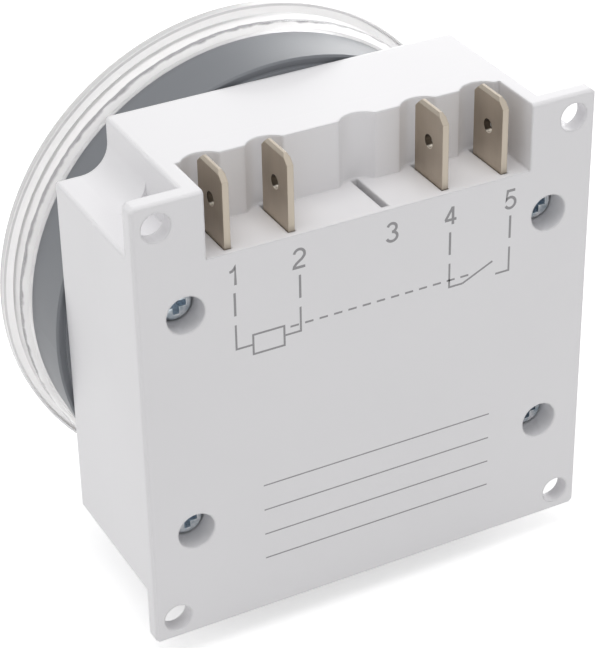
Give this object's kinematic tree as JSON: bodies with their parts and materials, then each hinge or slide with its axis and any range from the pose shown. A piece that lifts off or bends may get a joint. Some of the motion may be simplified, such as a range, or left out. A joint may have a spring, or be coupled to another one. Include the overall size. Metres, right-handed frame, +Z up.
{
  "type": "digital timer relay",
  "caption": "Panel timer relay: square white case with corner ears and push-on blade terminals in a rear recess, round grey front with display and keys under a clear cover.",
  "frame": {"origin": "centre of the flat rear face, midway between the four ear holes", "axes": "+Y out of the rear face, the round front faces -Y, +Z up towards the terminals' tips, +X to the right seen from the front"},
  "size_m": [0.0666, 0.037, 0.0666],
  "materials": {
    "white_abs": "moulded, fine satin",
    "grey_abs": "moulded, satin",
    "clear_polycarbonate": "moulded clear",
    "window_acrylic": "clear, polished",
    "seal_rubber": "matt",
    "nickel_plated_brass": "nickel plated, rolled",
    "zinc_plated_steel": "blue zinc plated",
    "board_laminate": "solder mask",
    "key_rubber": "matt silicone",
    "manual_key_rubber": "matt silicone",
    "mat_rubber": "matt silicone",
    "lcd_glass": "reflective display",
    "holder_plastic": "moulded",
    "contact_rubber": "layered conductive rubber",
    "led_resin": "clear red",
    "black_resin": "moulded",
    "tinned_steel": "tinned",
    "pin_brass": "gold flash",
    "capacitor_case": "moulded box",
    "can_sleeve": "shrink sleeve",
    "varistor_epoxy": "epoxy dip",
    "resistor_body": "lacquered",
    "relay_case": "moulded",
    "relay_iron": "annealed, nickel flash",
    "copper_wire": "enamelled copper",
    "contact_bronze": "rolled"
  },
  "bodies": {
    "timer": {"rear_case": "white_abs", "front_case": "white_abs", "front_housing": "grey_abs", "case_screws": "zinc_plated_steel", "terminal_1": "nickel_plated_brass", "terminal_2": "nickel_plated_brass", "terminal_4": "nickel_plated_brass", "terminal_5": "nickel_plated_brass", "display_window": "window_acrylic", "cover_seal": "seal_rubber", "key_mat": "mat_rubber", "status_led": "led_resin", "lcd_glass": "lcd_glass", "lcd_holder": "holder_plastic", "zebra_strips": "contact_rubber", "backlight": "holder_plastic", "control_board": "board_laminate", "board_screws": "zinc_plated_steel", "link_pins": "pin_brass", "link_body": "black_resin", "processor_chip": "black_resin", "crystal": "tinned_steel", "cell_holder": "black_resin", "backup_cell": "tinned_steel", "power_board": "board_laminate", "film_capacitor": "capacitor_case", "smoothing_capacitors": "can_sleeve", "varistor": "varistor_epoxy", "rectifier_diodes": "black_resin", "resistors": "resistor_body", "relay_base": "relay_case", "relay_cover": "relay_case", "relay_pins": "tinned_steel", "relay_yoke": "relay_iron", "relay_core": "relay_iron", "coil_bobbin": "holder_plastic", "coil_winding": "copper_wire", "fixed_contact": "contact_bronze"},
    "cover": {"clear_cover": "clear_polycarbonate"},
    "key_1": {"key_1": "key_rubber"},
    "key_2": {"key_2": "key_rubber"},
    "key_3": {"key_3": "key_rubber"},
    "key_4": {"key_4": "key_rubber"},
    "manual_key": {"manual_key": "manual_key_rubber"},
    "reset_key": {"reset_key": "key_rubber"},
    "armature": {"relay_armature": "relay_iron", "contact_arm": "contact_bronze"}
  },
  "joints": [
    {"name": "cover_pull", "type": "slide", "parent": "timer", "child": "cover", "axis": [0, -1, 0], "range_m": [0, 0.006]},
    {"name": "key_1_press", "type": "slide", "parent": "timer", "child": "key_1", "axis": [0, 1, 0], "range_m": [0, 0.0008], "stiffness_N_per_m": 1000},
    {"name": "key_2_press", "type": "slide", "parent": "timer", "child": "key_2", "axis": [0, 1, 0], "range_m": [0, 0.0008], "stiffness_N_per_m": 1000},
    {"name": "key_3_press", "type": "slide", "parent": "timer", "child": "key_3", "axis": [0, 1, 0], "range_m": [0, 0.0008], "stiffness_N_per_m": 1000},
    {"name": "key_4_press", "type": "slide", "parent": "timer", "child": "key_4", "axis": [0, 1, 0], "range_m": [0, 0.0008], "stiffness_N_per_m": 1000},
    {"name": "manual_key_press", "type": "slide", "parent": "timer", "child": "manual_key", "axis": [0, 1, 0], "range_m": [0, 0.0008], "stiffness_N_per_m": 1000},
    {"name": "reset_key_press", "type": "slide", "parent": "timer", "child": "reset_key", "axis": [0, 1, 0], "range_m": [0, 0.0008], "stiffness_N_per_m": 1000},
    {"name": "armature_pull_in", "type": "hinge", "parent": "timer", "child": "armature", "pos_m": [0.0136, -0.0066, -0.01268], "axis": [0, 0, 1], "range_deg": [0, 2.3], "stiffness_Nm_per_rad": 0.09}
  ]
}
